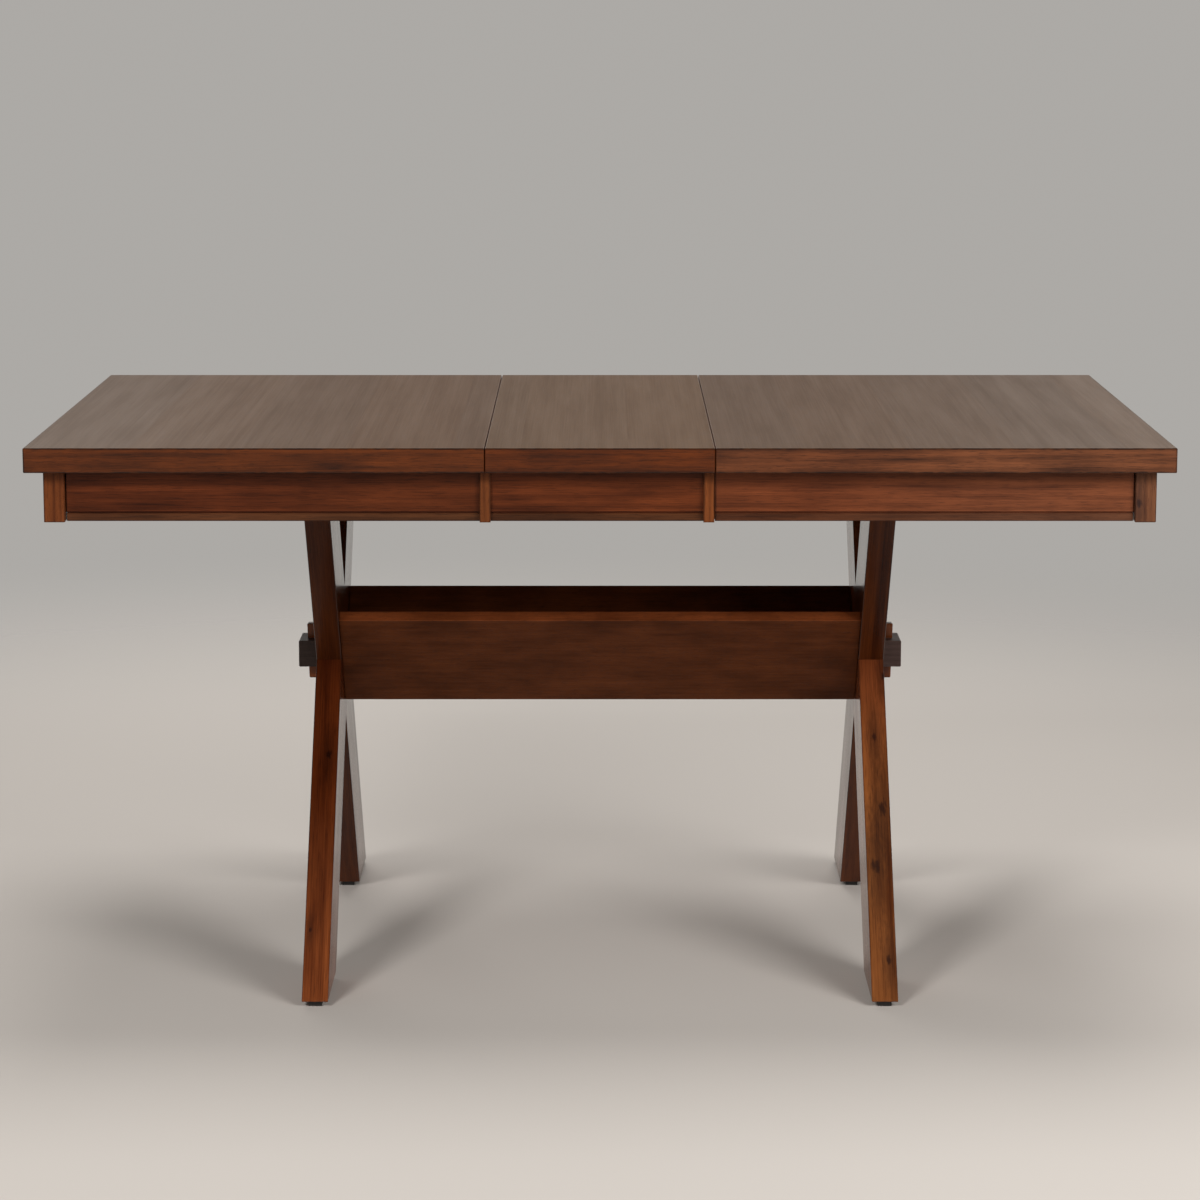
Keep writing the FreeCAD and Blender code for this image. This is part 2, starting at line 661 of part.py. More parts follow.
def make_leaf():
    """Leaf with its aprons, cover stiles, battens and the studs that the locks hook."""
    studs = []
    stud_holes = []
    for end, along in ends:
        x = f"{along} * {lock_stud}"
        length = f"({under_top} - {pin_head_top} + stud_depth)"
        shank = rod(f"{end}_stud_shank", x, "0", pin_head_top, length, "stud_diameter")
        head = rod(f"{end}_stud_head", x, "0", f"{pin_head_top} - pin_head_height", "pin_head_height",
                   "pin_head_diameter")
        studs.append(joined(f"{end}_stud", [shank, head]))
        stud_holes.append(rod(f"{end}_stud_hole", x, "0", pin_head_top, f"{length} + screw_clear",
                              "stud_diameter + 2 * screw_clear"))
    keep("leaf_studs", group("leaf_studs", studs))
    keep("leaf_top", cut_from("leaf_top", rounded_slab("leaf_top_blank", "0", "leaf_width"), stud_holes))
    battens = []
    for end, along in ends:
        length = f"2 * ({rail_middle} - rail_width / 2 - batten_end_gap)"
        battens.append(block(f"{end}_batten", (f"{along} * batten_offset", "0",
                                               f"{under_top} - batten_height / 2"),
                             ("batten_width", length, "batten_height")))
    keep("leaf_battens", group("leaf_battens", battens))
    for side, across in sides:
        keep(f"leaf_{side}_apron", profile(f"leaf_{side}_apron", "YZ", apron_section(across, apron_face),
                                           "leaf_width"))
        make_stile(f"leaf_{side}_stile", -across, f"{leaf_half} - stile_width", leaf_half)


def check_document():
    """Stops before anything is written if an object failed, or a pocket cut nothing."""
    for item in doc.Objects:
        if "Invalid" in item.State or "Error" in item.State:
            raise RuntimeError(f"{item.Label} failed: {item.State}")
    for cut in pockets:
        if cut.BaseFeature.Shape.Volume - cut.Shape.Volume < 1:
            raise RuntimeError(f"{cut.Label} cut nothing")
    for name, piece in pieces.items():
        if piece.Shape.isNull() or not piece.Shape.isValid() or not piece.Shape.Solids:
            raise RuntimeError(f"{name} has no valid solid")


glide_holes = make_glides()
bearer_holes, rail_holes = make_bearers()
make_legs(glide_holes + bearer_holes + rail_holes)
make_stretcher()
make_rails(rail_holes)
for end, along in ends:
    make_half(end, along)
make_leaf()
doc.recompute()
check_document()

os.makedirs("parts", exist_ok=True)
for name, piece in pieces.items():
    piece.Shape.exportStep(f"parts/{name}.step")
    print(f"{name}: {len(piece.Shape.Solids)} solid(s), {piece.Shape.Volume / 1000:.1f} cm3")
print(f"{len(pieces)} pieces")
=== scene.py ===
import json
import math

import bpy
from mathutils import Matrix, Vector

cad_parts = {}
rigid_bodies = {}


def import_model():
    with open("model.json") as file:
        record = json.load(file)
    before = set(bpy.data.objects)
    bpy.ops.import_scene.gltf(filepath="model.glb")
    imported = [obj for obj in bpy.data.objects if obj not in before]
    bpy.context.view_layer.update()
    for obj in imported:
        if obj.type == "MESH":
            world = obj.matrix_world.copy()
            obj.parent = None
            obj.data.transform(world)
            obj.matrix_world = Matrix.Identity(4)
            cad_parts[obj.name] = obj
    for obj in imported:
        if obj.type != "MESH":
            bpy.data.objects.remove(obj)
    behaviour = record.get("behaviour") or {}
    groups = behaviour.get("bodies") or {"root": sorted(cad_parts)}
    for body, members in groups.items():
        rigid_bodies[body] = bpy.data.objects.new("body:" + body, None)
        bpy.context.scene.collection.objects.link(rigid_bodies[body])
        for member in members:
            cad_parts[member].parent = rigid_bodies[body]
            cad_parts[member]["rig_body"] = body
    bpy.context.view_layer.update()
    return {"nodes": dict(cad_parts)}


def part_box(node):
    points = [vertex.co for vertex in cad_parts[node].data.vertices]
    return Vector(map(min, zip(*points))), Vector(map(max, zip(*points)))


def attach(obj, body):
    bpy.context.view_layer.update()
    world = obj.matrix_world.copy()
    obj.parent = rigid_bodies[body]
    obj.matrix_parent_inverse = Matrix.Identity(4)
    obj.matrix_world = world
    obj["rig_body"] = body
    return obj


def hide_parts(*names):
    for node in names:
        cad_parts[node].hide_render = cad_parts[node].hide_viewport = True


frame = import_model()
nodes = frame["nodes"]
print("frame loaded:", len(nodes), "nodes")


# small helpers for node trees
def feed(tree, socket, value):
    if isinstance(value, bpy.types.NodeSocket):
        tree.links.new(value, socket)
    else:
        socket.default_value = value


def addNode(tree, kind, inputs=None, **settings):
    node = tree.nodes.new(kind)
    for name, value in settings.items():
        setattr(node, name, value)
    for name, value in (inputs or {}).items():
        feed(tree, node.inputs[name], value)
    return node


def calc(tree, operation, *values):
    return addNode(tree, "ShaderNodeMath", dict(enumerate(values)), operation=operation).outputs[0]


def vectorCalc(tree, operation, *values):
    return addNode(tree, "ShaderNodeVectorMath", dict(enumerate(values)), operation=operation).outputs[0]


def vectorLength(tree, vector):
    return addNode(tree, "ShaderNodeVectorMath", {0: vector}, operation="LENGTH").outputs["Value"]


def split(tree, vector):
    return addNode(tree, "ShaderNodeSeparateXYZ", {0: vector}).outputs


def combine(tree, x, y, z):
    return addNode(tree, "ShaderNodeCombineXYZ", {0: x, 1: y, 2: z}).outputs[0]


def ramp(tree, value, low, high, toLow=0.0, toHigh=1.0):
    steps = {0: value, 1: low, 2: high, 3: toLow, 4: toHigh}
    return addNode(tree, "ShaderNodeMapRange", steps, interpolation_type="SMOOTHSTEP").outputs[0]


def mixColor(tree, factor, first, second, blend="MIX"):
    steps = {0: factor, 6: first, 7: second}        # the Mix node's colour sockets
    return addNode(tree, "ShaderNodeMix", steps, data_type="RGBA", blend_type=blend).outputs[2]


def mixVector(tree, factor, first, second):
    steps = {0: factor, 4: first, 5: second}        # its vector sockets
    return addNode(tree, "ShaderNodeMix", steps, data_type="VECTOR").outputs[1]


def noise(tree, vector, stretch, detail=2.0, roughness=0.5, output="Fac"):
    stretched = vectorCalc(tree, "MULTIPLY", vector, stretch)
    steps = {"Vector": stretched, "Scale": 1.0, "Detail": detail, "Roughness": roughness}
    return addNode(tree, "ShaderNodeTexNoise", steps).outputs[output]


def objectSpot(tree):
    return addNode(tree, "ShaderNodeTexCoord").outputs["Object"]


def addBump(tree, shader, strength, distance, height):
    steps = {"Strength": strength, "Distance": distance, "Height": height}
    feed(tree, shader.inputs["Normal"], addNode(tree, "ShaderNodeBump", steps).outputs[0])


def newGroup(name, inputs, outputs):
    tree = bpy.data.node_groups.new(name, "ShaderNodeTree")
    for label, kind in inputs.items():
        tree.interface.new_socket(label, in_out="INPUT", socket_type="NodeSocket" + kind)
    for label, kind in outputs.items():
        tree.interface.new_socket(label, in_out="OUTPUT", socket_type="NodeSocket" + kind)
    return tree, tree.nodes.new("NodeGroupInput").outputs, tree.nodes.new("NodeGroupOutput").inputs


def useGroup(tree, group, inputs):
    return addNode(tree, "ShaderNodeGroup", inputs, node_tree=group).outputs


def newMaterial(name):
    material = bpy.data.materials.new(name)
    material.use_nodes = True
    tree = material.node_tree
    return material, tree, tree.nodes["Principled BSDF"]


def rgba(color):
    return (*color, 1.0)


# stained wood as a solid texture, grain along the vector's X, in metres; each layer of it is
# its waves in a metre along and across the grain, its detail and its roughness
grainLook = {
    "figure": (0.9, 7.0, 7.0),      # slow wander of the growth rings, waves in a metre
    "wander": 0.014,
    "streaks": ((3.0, 140.0, 140.0), 3.0, 0.6),
    "fibres": ((9.0, 620.0, 620.0), 2.0, 0.6),
    "blotches": ((5.0, 26.0, 26.0), 3.0, 0.55),
    "pores": ((42.0, 1500.0, 1500.0), 1.0, 0.5),
    "poreEdge": (0.57, 0.68),       # where that noise becomes a pore
    "fibreShare": 0.7,
    "poreShare": 0.45,
    "fibreLift": 0.6,               # heights for the bump
    "poreSink": -0.8,
}


def makeWoodGroup(look):
    inputs = {"Grain": "Vector", "Pith": "Vector", "Ring Pitch": "Float", "Ring": "Float",
              "Streak": "Float", "Blotch": "Float", "Light": "Color", "Dark": "Color", "Pore": "Color"}
    outputs = {"Color": "Color", "Tone": "Float", "Height": "Float"}
    tree, source, sink = newGroup("stainedWood", inputs, outputs)
    grain = source["Grain"]

    def layer(name):
        return calc(tree, "SUBTRACT", noise(tree, grain, *look[name]), 0.5)

    wander = noise(tree, grain, look["figure"], output="Color")
    centred = vectorCalc(tree, "SUBTRACT", wander, (0.5, 0.5, 0.5))
    moved = vectorCalc(tree, "MULTIPLY", centred, (0.0, look["wander"], look["wander"]))
    offPith = vectorCalc(tree, "SUBTRACT", vectorCalc(tree, "ADD", grain, moved), source["Pith"])
    radius = vectorLength(tree, vectorCalc(tree, "MULTIPLY", offPith, (0.0, 1.0, 1.0)))
    turns = calc(tree, "MULTIPLY", calc(tree, "DIVIDE", radius, source["Ring Pitch"]), 2 * math.pi)
    ring = calc(tree, "MULTIPLY", calc(tree, "SINE", turns), 0.5)
    fibre = layer("fibres")
    pore = ramp(tree, noise(tree, grain, *look["pores"]), *look["poreEdge"])
    tone = calc(tree, "MULTIPLY_ADD", fibre, look["fibreShare"], 0.5)
    for name, value in {"Ring": ring, "Streak": layer("streaks"), "Blotch": layer("blotches")}.items():
        tone = calc(tree, "MULTIPLY_ADD", value, source[name], tone)
    tone = calc(tree, "MINIMUM", calc(tree, "MAXIMUM", tone, 0.0), 1.0)
    color = mixColor(tree, tone, source["Dark"], source["Light"])
    color = mixColor(tree, calc(tree, "MULTIPLY", pore, look["poreShare"]), color, source["Pore"])
    lift = calc(tree, "MULTIPLY", fibre, look["fibreLift"])
    feed(tree, sink["Color"], color)
    feed(tree, sink["Tone"], tone)
    feed(tree, sink["Height"], calc(tree, "MULTIPLY_ADD", pore, look["poreSink"], lift))
    return tree


# darkening along the arrises of a board
arrisLook = {
    "fullShare": 0.35,              # of its width, from the arris inwards
    "rubs": (60.0, 60.0, 60.0),     # patches where the darkening is weaker, waves in a metre
    "rubEdge": (0.30, 0.62),
    "rubLeast": 0.35,
}


# 1 on the arrises of a board whose middle is the vector's zero, fading to 0 inside its faces
def makeArrisGroup(look):
    inputs = {"Place": "Vector", "Half": "Vector", "Width": "Float"}
    tree, source, sink = newGroup("arris", inputs, {"Band": "Float"})
    inward = vectorCalc(tree, "SUBTRACT", source["Half"], vectorCalc(tree, "ABSOLUTE", source["Place"]))
    a, b, c = split(tree, inward)
    larger = calc(tree, "MINIMUM", calc(tree, "MAXIMUM", a, b), c)
    second = calc(tree, "MAXIMUM", calc(tree, "MINIMUM", a, b), larger)
    inside = calc(tree, "MULTIPLY", source["Width"], look["fullShare"])
    feed(tree, sink["Band"], ramp(tree, second, inside, source["Width"], 1.0, 0.0))
    return tree


# a knot: a ragged dark core in a longer, fainter swirl of the grain, edges as shares of its radius
knotLook = {
    "ragged": ((80.0, 260.0, 260.0), 3.0),
    "raggedShare": 1.3,
    "core": {"squeeze": 0.55, "edge": (0.1, 1.1), "dark": 0.92},
    "swirl": {"squeeze": 0.2, "edge": (0.3, 2.1), "dark": 0.5},
}


def makeKnotGroup(look):
    inputs = {"Place": "Vector", "Middle": "Vector", "Radius": "Float"}
    tree, source, sink = newGroup("knot", inputs, {"Dark": "Float"})
    away = vectorCalc(tree, "SUBTRACT", source["Place"], source["Middle"])
    ragged = calc(tree, "SUBTRACT", noise(tree, source["Place"], *look["ragged"]), 0.5)
    darks = []
    for part in (look["core"], look["swirl"]):
        squeezed = vectorCalc(tree, "MULTIPLY", away, (part["squeeze"], 1.0, 1.0))
        share = calc(tree, "DIVIDE", vectorLength(tree, squeezed), source["Radius"])
        share = calc(tree, "MULTIPLY_ADD", ragged, look["raggedShare"], share)
        darks.append(ramp(tree, share, *part["edge"], part["dark"], 0.0))
    feed(tree, sink["Dark"], calc(tree, "MAXIMUM", *darks))
    return tree


woodGroup = makeWoodGroup(grainLook)
arrisGroup = makeArrisGroup(arrisLook)
knotGroup = makeKnotGroup(knotLook)

# finishes: linear colours of the stain, how lively the grain is along the board and what it is made of,
# how the lacquer shines, and the darkening along the arrises; a slab shines as its faces do, and is
# darkened along its arrises as its lipping is
finishes = {
    "slab": {"light": (0.0945, 0.0366, 0.0056), "dark": (0.0610, 0.0226, 0.0032),
             "pore": (0.030, 0.014, 0.008),
             "ringPitch": 0.0120, "ring": 0.12, "streak": 0.40, "blotch": 1.0, "liveliness": 0.5,
             "roughness": (0.34, 0.42), "specular": 0.24, "coat": 0.06, "coatRoughness": 0.26,
             "bump": 0.0002},
    "lipping": {"light": (0.160, 0.0400, 0.0098), "dark": (0.022, 0.0054, 0.0016),
                "pore": (0.012, 0.004, 0.002),
                "ringPitch": 0.0080, "ring": 0.18, "streak": 0.95, "blotch": 1.5, "liveliness": 1.7,
                "arrisWidth": 0.0030, "arrisShare": 0.9},
    "apron": {"light": (0.156, 0.0352, 0.0099), "dark": (0.026, 0.0058, 0.0022),
              "pore": (0.014, 0.005, 0.003),
              "ringPitch": 0.0130, "ring": 0.16, "streak": 0.55, "blotch": 1.5, "liveliness": 1.1,
              "roughness": (0.38, 0.48), "specular": 0.12, "coat": 0.05, "coatRoughness": 0.28,
              "arrisWidth": 0.0022, "arrisShare": 0.45, "bump": 0.00025},
    "post": {"light": (0.215, 0.060, 0.0160), "dark": (0.076, 0.0185, 0.0055),
             "pore": (0.024, 0.009, 0.005),
             "ringPitch": 0.0075, "ring": 0.22, "streak": 1.0, "blotch": 1.1, "liveliness": 1.6,
             "roughness": (0.36, 0.46), "specular": 0.12, "coat": 0.05, "coatRoughness": 0.28,
             "arrisWidth": 0.0022, "arrisShare": 0.55, "bump": 0.00025},
    "leg": {"light": (0.220, 0.062, 0.0142), "dark": (0.056, 0.0122, 0.0030),
            "pore": (0.018, 0.0066, 0.0036),
            "ringPitch": 0.0140, "ring": 0.12, "streak": 1.1, "blotch": 1.5, "liveliness": 0.8,
            "roughness": (0.17, 0.25), "specular": 0.15, "coat": 0.15, "coatRoughness": 0.10,
            "arrisWidth": 0.0022, "arrisShare": 0.40, "bump": 0.00010},
    "trough": {"light": (0.152, 0.0420, 0.0122), "dark": (0.056, 0.0150, 0.0045),
               "pore": (0.018, 0.007, 0.004),
               "ringPitch": 0.0210, "ring": 0.06, "streak": 0.7, "blotch": 1.5, "liveliness": 2.4,
               "roughness": (0.40, 0.50), "specular": 0.06, "coat": 0.03, "coatRoughness": 0.28,
               "arrisWidth": 0.0020, "arrisShare": 0.20, "bump": 0.00025},
    "beam": {"light": (0.075, 0.045, 0.034), "dark": (0.036, 0.021, 0.016), "pore": (0.016, 0.009, 0.007),
             "ringPitch": 0.0080, "ring": 0.22, "streak": 0.85, "blotch": 0.95, "liveliness": 1.5,
             "roughness": (0.36, 0.46), "specular": 0.15, "coat": 0.08, "coatRoughness": 0.24,
             "arrisWidth": 0.0020, "arrisShare": 0.40, "bump": 0.00025},
    "bare": {"light": (0.520, 0.350, 0.200), "dark": (0.360, 0.220, 0.115), "pore": (0.200, 0.115, 0.060),
             "ringPitch": 0.0060, "ring": 0.22, "streak": 0.85, "blotch": 0.95, "liveliness": 1.0,
             "roughness": (0.52, 0.66), "specular": 0.30, "coat": 0.0, "coatRoughness": 0.30,
             "arrisWidth": 0.0016, "arrisShare": 0.15, "bump": 0.00025},
}
bumpStrength = 0.5

# turns that lay a pattern's X along a board's grain
grainTurns = {"x": (0.0, 0.0, 0.0), "y": (0.0, 0.0, 90.0), "z": (0.0, -90.0, 0.0)}
pastEnds = 1.0      # further from a board's middle than any board reaches

# where in the tree the boards of each kind are cut: the first one's seed and the step to the next one's
cutSeeds = {"trim": (3.1, 0.9), "leg": (11.3, 1.7), "trough": (21.5, 1.0), "beam": (25.1, 0.0),
            "wedge": (26.4, 1.3), "bare": (31.7, 0.8)}
boardCut = {
    "steps": (1.37, 0.61, 0.83),    # along, across and up the board, for each 1 of its seed
    "aside": 0.03,                  # how far the pith swings to the sides, and how fast with the seed
    "asideTurn": 2.4,
    "below": 0.07,                  # how deep it lies under the board, and how that swings
    "belowSwing": 0.02,
    "belowTurn": 1.7,
}


def cutSeed(kind, number=0):
    first, step = cutSeeds[kind]
    return first + number * step


def boxPlace(name, along):
    low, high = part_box(name)
    middle = (low + high) / 2
    half = (high - low) / 2
    order = {"x": (0, 1, 2), "y": (1, 0, 2), "z": (2, 1, 0)}[along]
    return tuple(middle), tuple(half[axis] for axis in order)


def shine(tree, shader, finish, tone, height):
    low, high = finish["roughness"]
    feed(tree, shader.inputs["Roughness"], ramp(tree, tone, 0.0, 1.0, high, low))
    addBump(tree, shader, bumpStrength, finish["bump"], height)
    shader.inputs["Specular IOR Level"].default_value = finish["specular"]
    shader.inputs["Coat Weight"].default_value = finish["coat"]
    shader.inputs["Coat Roughness"].default_value = finish["coatRoughness"]


def grainInputs(finish, grain, pith):
    return {"Grain": grain, "Pith": pith, "Ring Pitch": finish["ringPitch"], "Ring": finish["ring"],
            "Streak": finish["streak"], "Blotch": finish["blotch"], "Light": rgba(finish["light"]),
            "Dark": rgba(finish["dark"]), "Pore": rgba(finish["pore"])}


def darkenArris(tree, color, place, half, finish):
    steps = {"Place": place, "Half": half, "Width": finish["arrisWidth"]}
    band = useGroup(tree, arrisGroup, steps)["Band"]
    rub = ramp(tree, noise(tree, place, arrisLook["rubs"]), *arrisLook["rubEdge"], arrisLook["rubLeast"])
    share = calc(tree, "MULTIPLY", calc(tree, "MULTIPLY", band, rub), finish["arrisShare"])
    return mixColor(tree, share, color, rgba(finish["pore"]))


# stretches of a board tinted apart: axis, from, to, how soft their ends are, and tint; most of the tints
# given to it paint in light and shade
def tintBands(tree, color, place, bands):
    spots = split(tree, place)
    for axis, start, end, soft, tint in bands:
        rise = ramp(tree, spots[axis], start - soft, start + soft)
        fall = ramp(tree, spots[axis], end - soft, end + soft, 1.0, 0.0)
        color = mixColor(tree, calc(tree, "MULTIPLY", rise, fall), color, rgba(tint), "MULTIPLY")
    return color


# one board: its grain turned to its length, its own cut of the tree, and darkening along its arrises
def boardMaterial(name, finishName, middle, half, turn, seed, tint=(1.0, 1.0, 1.0), knots=(), bands=()):
    finish = finishes[finishName]
    material, tree, shader = newMaterial(name + "Wood")
    angles = tuple(math.radians(angle) for angle in turn)
    steps = {"Vector": objectSpot(tree), "Location": middle, "Rotation": angles}
    place = addNode(tree, "ShaderNodeMapping", steps, vector_type="TEXTURE").outputs[0]
    start = tuple(seed * step for step in boardCut["steps"])
    moved = vectorCalc(tree, "ADD", place, start)
    grain = vectorCalc(tree, "MULTIPLY", moved, (finish["liveliness"], 1.0, 1.0))
    pithY = start[1] + boardCut["aside"] * math.sin(seed * boardCut["asideTurn"])
    pithZ = start[2] - boardCut["below"] - boardCut["belowSwing"] * math.cos(seed * boardCut["belowTurn"])
    wood = useGroup(tree, woodGroup, grainInputs(finish, grain, (0.0, pithY, pithZ)))
    color = wood["Color"]
    for spotX, spotY, spotZ, radius in knots:
        steps = {"Place": place, "Middle": (spotX, spotY, spotZ), "Radius": radius}
        color = mixColor(tree, useGroup(tree, knotGroup, steps)["Dark"], color, rgba(finish["pore"]))
    color = mixColor(tree, 1.0, color, rgba(tint), "MULTIPLY")
    color = tintBands(tree, color, place, bands)
    feed(tree, shader.inputs["Base Color"], darkenArris(tree, color, place, half, finish))
    shine(tree, shader, finish, wood["Tone"], wood["Height"])
    return material


def dress(name, material):
    slots = nodes[name].data.materials
    slots.clear()
    slots.append(material)


# the top's slabs: strips of veneer along Y on the faces, solid lipping round the edges
slabLook = {
    "stripWidth": 0.142,
    "stripTone": (0.90, 1.10),
    "stripShift": 0.37,             # in strips, from one slab to the next
    "stripSeed": 17.0,
    "cutAlong": 7.0,                # how far apart in the tree the strips may be cut
    "cutAcross": 5.0,
    "pithAside": (-0.05, 0.10),     # least, and how far it varies from strip to strip
    "pithHeight": (0.66, 0.06),
    "faceEdge": (0.6, 0.8),         # part of the normal at which the lipping gives way to the face
    "lipSteps": (1.9, 0.7, 1.1),
    "lipPith": (-0.55, 0.70),
    "seamClear": 0.01,              # keeps the dark arrises off the seams
    "seamSides": {"left_top": 1, "leaf_top": 0, "right_top": -1},
    "faceTints": {"left_top": (1.0, 1.0, 1.0), "leaf_top": (1.15, 1.22, 1.30),
                  "right_top": (0.96, 0.98, 1.1)},
    # the right top's paler, greyer lipping tint, and its band at the outer end, are painted light and
    # sheen from the right side
    "edgeTints": {"left_top": (0.90, 0.82, 0.55), "leaf_top": (0.83, 0.70, 0.40),
                  "right_top": (1.00, 1.18, 1.65)},
    "edgeBands": {"right_top": [("X", -0.035, pastEnds, 0.12, (1.39, 1.52, 1.66))]},    # its outer end, with more painted light and sheen
}


def slabMaterial(name, seed, look):
    face, lip = finishes["slab"], finishes["lipping"]
    material, tree, shader = newMaterial(name + "Veneer")
    coordinates = addNode(tree, "ShaderNodeTexCoord").outputs
    spot = coordinates["Object"]
    x, y, z = split(tree, spot)
    middle, half = boxPlace(name, "x")

    # each strip of veneer is a cut of its own
    strips = calc(tree, "ADD", calc(tree, "DIVIDE", x, look["stripWidth"]), seed * look["stripShift"])
    steps = {"W": calc(tree, "ADD", calc(tree, "FLOOR", strips), seed * look["stripSeed"])}
    chance = addNode(tree, "ShaderNodeTexWhiteNoise", steps, noise_dimensions="1D").outputs
    cut = split(tree, chance["Color"])
    inStrip = calc(tree, "SUBTRACT", calc(tree, "FRACT", strips), 0.5)
    across = calc(tree, "MULTIPLY", inStrip, look["stripWidth"])
    along = calc(tree, "MULTIPLY_ADD", cut[0], look["cutAlong"], y)
    along = calc(tree, "MULTIPLY", along, face["liveliness"])
    grain = combine(tree, along, calc(tree, "MULTIPLY_ADD", cut[1], look["cutAcross"], across), z)
    least, spread = look["pithAside"]
    aside = calc(tree, "MULTIPLY_ADD", cut[2], spread, least)
    pithY = calc(tree, "MULTIPLY_ADD", cut[1], look["cutAcross"], aside)
    least, spread = look["pithHeight"]
    pith = combine(tree, 0.0, pithY, calc(tree, "MULTIPLY_ADD", cut[0], spread, least))
    veneer = useGroup(tree, woodGroup, grainInputs(face, grain, pith))
    low, high = look["stripTone"]
    stripTone = calc(tree, "MULTIPLY_ADD", chance["Value"], high - low, low)
    shade = combine(tree, stripTone, stripTone, stripTone)
    shade = vectorCalc(tree, "MULTIPLY", shade, look["faceTints"][name])
    veneerColor = mixColor(tree, 1.0, veneer["Color"], shade, "MULTIPLY")

    # the lipping runs along X at the front and rear, and along Y at the ends
    normal = split(tree, coordinates["Normal"])
    onEnd = ramp(tree, calc(tree, "ABSOLUTE", normal[0]), *look["faceEdge"])
    start = tuple(seed * step for step in look["lipSteps"])
    lipGrain = mixVector(tree, onEnd, combine(tree, x, y, z), combine(tree, y, x, z))
    lipGrain = vectorCalc(tree, "ADD", lipGrain, start)
    lipGrain = vectorCalc(tree, "MULTIPLY", lipGrain, (lip["liveliness"], 1.0, 1.0))
    lipPith = (0.0, start[1] + look["lipPith"][0], start[2] + look["lipPith"][1])
    lipping = useGroup(tree, woodGroup, grainInputs(lip, lipGrain, lipPith))
    # the lipping tint and band: painted light and sheen on the right top
    lipColor = mixColor(tree, 1.0, lipping["Color"], rgba(look["edgeTints"][name]), "MULTIPLY")
    fromMiddle = vectorCalc(tree, "SUBTRACT", spot, middle)
    lipColor = tintBands(tree, lipColor, fromMiddle, look["edgeBands"].get(name, ()))

    onFace = ramp(tree, calc(tree, "ABSOLUTE", normal[2]), *look["faceEdge"])
    color = mixColor(tree, onFace, lipColor, veneerColor)
    clear = look["seamClear"]
    middle = (middle[0] + look["seamSides"][name] * clear, middle[1], middle[2])
    half = (half[0] + clear, half[1], half[2])
    place = vectorCalc(tree, "SUBTRACT", spot, middle)
    feed(tree, shader.inputs["Base Color"], darkenArris(tree, color, place, half, lip))
    blended = {}
    for part in ("Tone", "Height"):
        lifted = calc(tree, "SUBTRACT", veneer[part], lipping[part])
        blended[part] = calc(tree, "MULTIPLY_ADD", lifted, onFace, lipping[part])
    shine(tree, shader, face, blended["Tone"], blended["Height"])
    return material


for seed, name in enumerate(("left_top", "leaf_top", "right_top"), 1):
    dress(name, slabMaterial(name, seed, slabLook))
print("slabs veneered")

# aprons, posts, cover stiles and seam strips
trimLook = {
    "kinds": {                      # by the end of a node's name: its finish, and where its grain runs
        "end_apron": ("apron", "y"),
        "apron": ("apron", "x"),
        "post": ("post", "z"),
        "stile": ("post", "z"),
        "strip": ("apron", "z"),
    },
    # the right-hand pieces' paler, greyer tint is mostly painted light and sheen from the right side,
    # partly their own stain; the right front post's grey-blue tint is a painted sheen
    "tints": {"left": (1.0, 1.0, 1.0), "leaf": (1.15, 1.18, 1.15), "right": (1.3, 1.5, 1.8)},
    "ownTints": {"right_front_post": (1.0, 1.42, 2.4), "left_cover_stile": (0.86, 0.90, 0.95)},
    "beadHeight": 0.0105,
    # the bead below the groove is tinted greyer than the apron: a painted sheen
    "beadTints": {"left": (0.94, 1.42, 1.9), "leaf": (0.60, 0.88, 1.18), "right": (0.58, 0.72, 0.86)},
    "grooveTop": 0.013,
    # the groove above the bead is darkened: painted shade in the recess
    "grooveTint": (0.60, 0.54, 0.54),
    "lineSoft": 0.0002,
    # the right front apron is paler towards its outer end: painted light from the right side; the left
    # front apron is darker towards its inner end
    "endTones": {"right_front_apron": ("X", -0.02, pastEnds, 0.18, (1.20, 1.40, 1.66)),
                 "left_front_apron": ("X", 0.02, pastEnds, 0.12, (0.84, 0.87, 0.87))},
    "knots": {"right_front_post": (((0.7157, -0.434, 0.694), 0.007),)},     # place and radius
}


def trimKind(name):
    for kind in trimLook["kinds"]:
        if name.endswith(kind):
            return kind
    return None


trimNames = [name for name in sorted(nodes) if trimKind(name)]
for number, name in enumerate(trimNames):
    kind = trimKind(name)
    finishName, along = trimLook["kinds"][kind]
    middle, half = boxPlace(name, along)
    part = name.split("_")[0]
    # the tints of the right-hand pieces hold painted light and sheen
    tint = trimLook["ownTints"].get(name, trimLook["tints"][part])
    knots = []
    bands = []
    if kind.endswith("apron"):
        bottom = -half[2]
        beadTop = bottom + trimLook["beadHeight"]
        grooveTop = bottom + trimLook["grooveTop"]
        # the bead's band is a painted sheen and the groove's band painted shade
        bands = [("Z", bottom, beadTop, trimLook["lineSoft"], trimLook["beadTints"][part]),
                 ("Z", beadTop, grooveTop, trimLook["lineSoft"], trimLook["grooveTint"])]
    if name in trimLook["endTones"]:
        bands.append(trimLook["endTones"][name])
    for place, radius in trimLook["knots"].get(name, ()):
        x, y, z = (spot - centre for spot, centre in zip(place, middle))
        knots.append((z, y, -x, radius))        # a post's grain runs up
    turn = grainTurns[along]
    seed = cutSeed("trim", number)
    dress(name, boardMaterial(name, finishName, middle, half, turn, seed, tint, knots, bands))
print("trim stained:", len(trimNames))

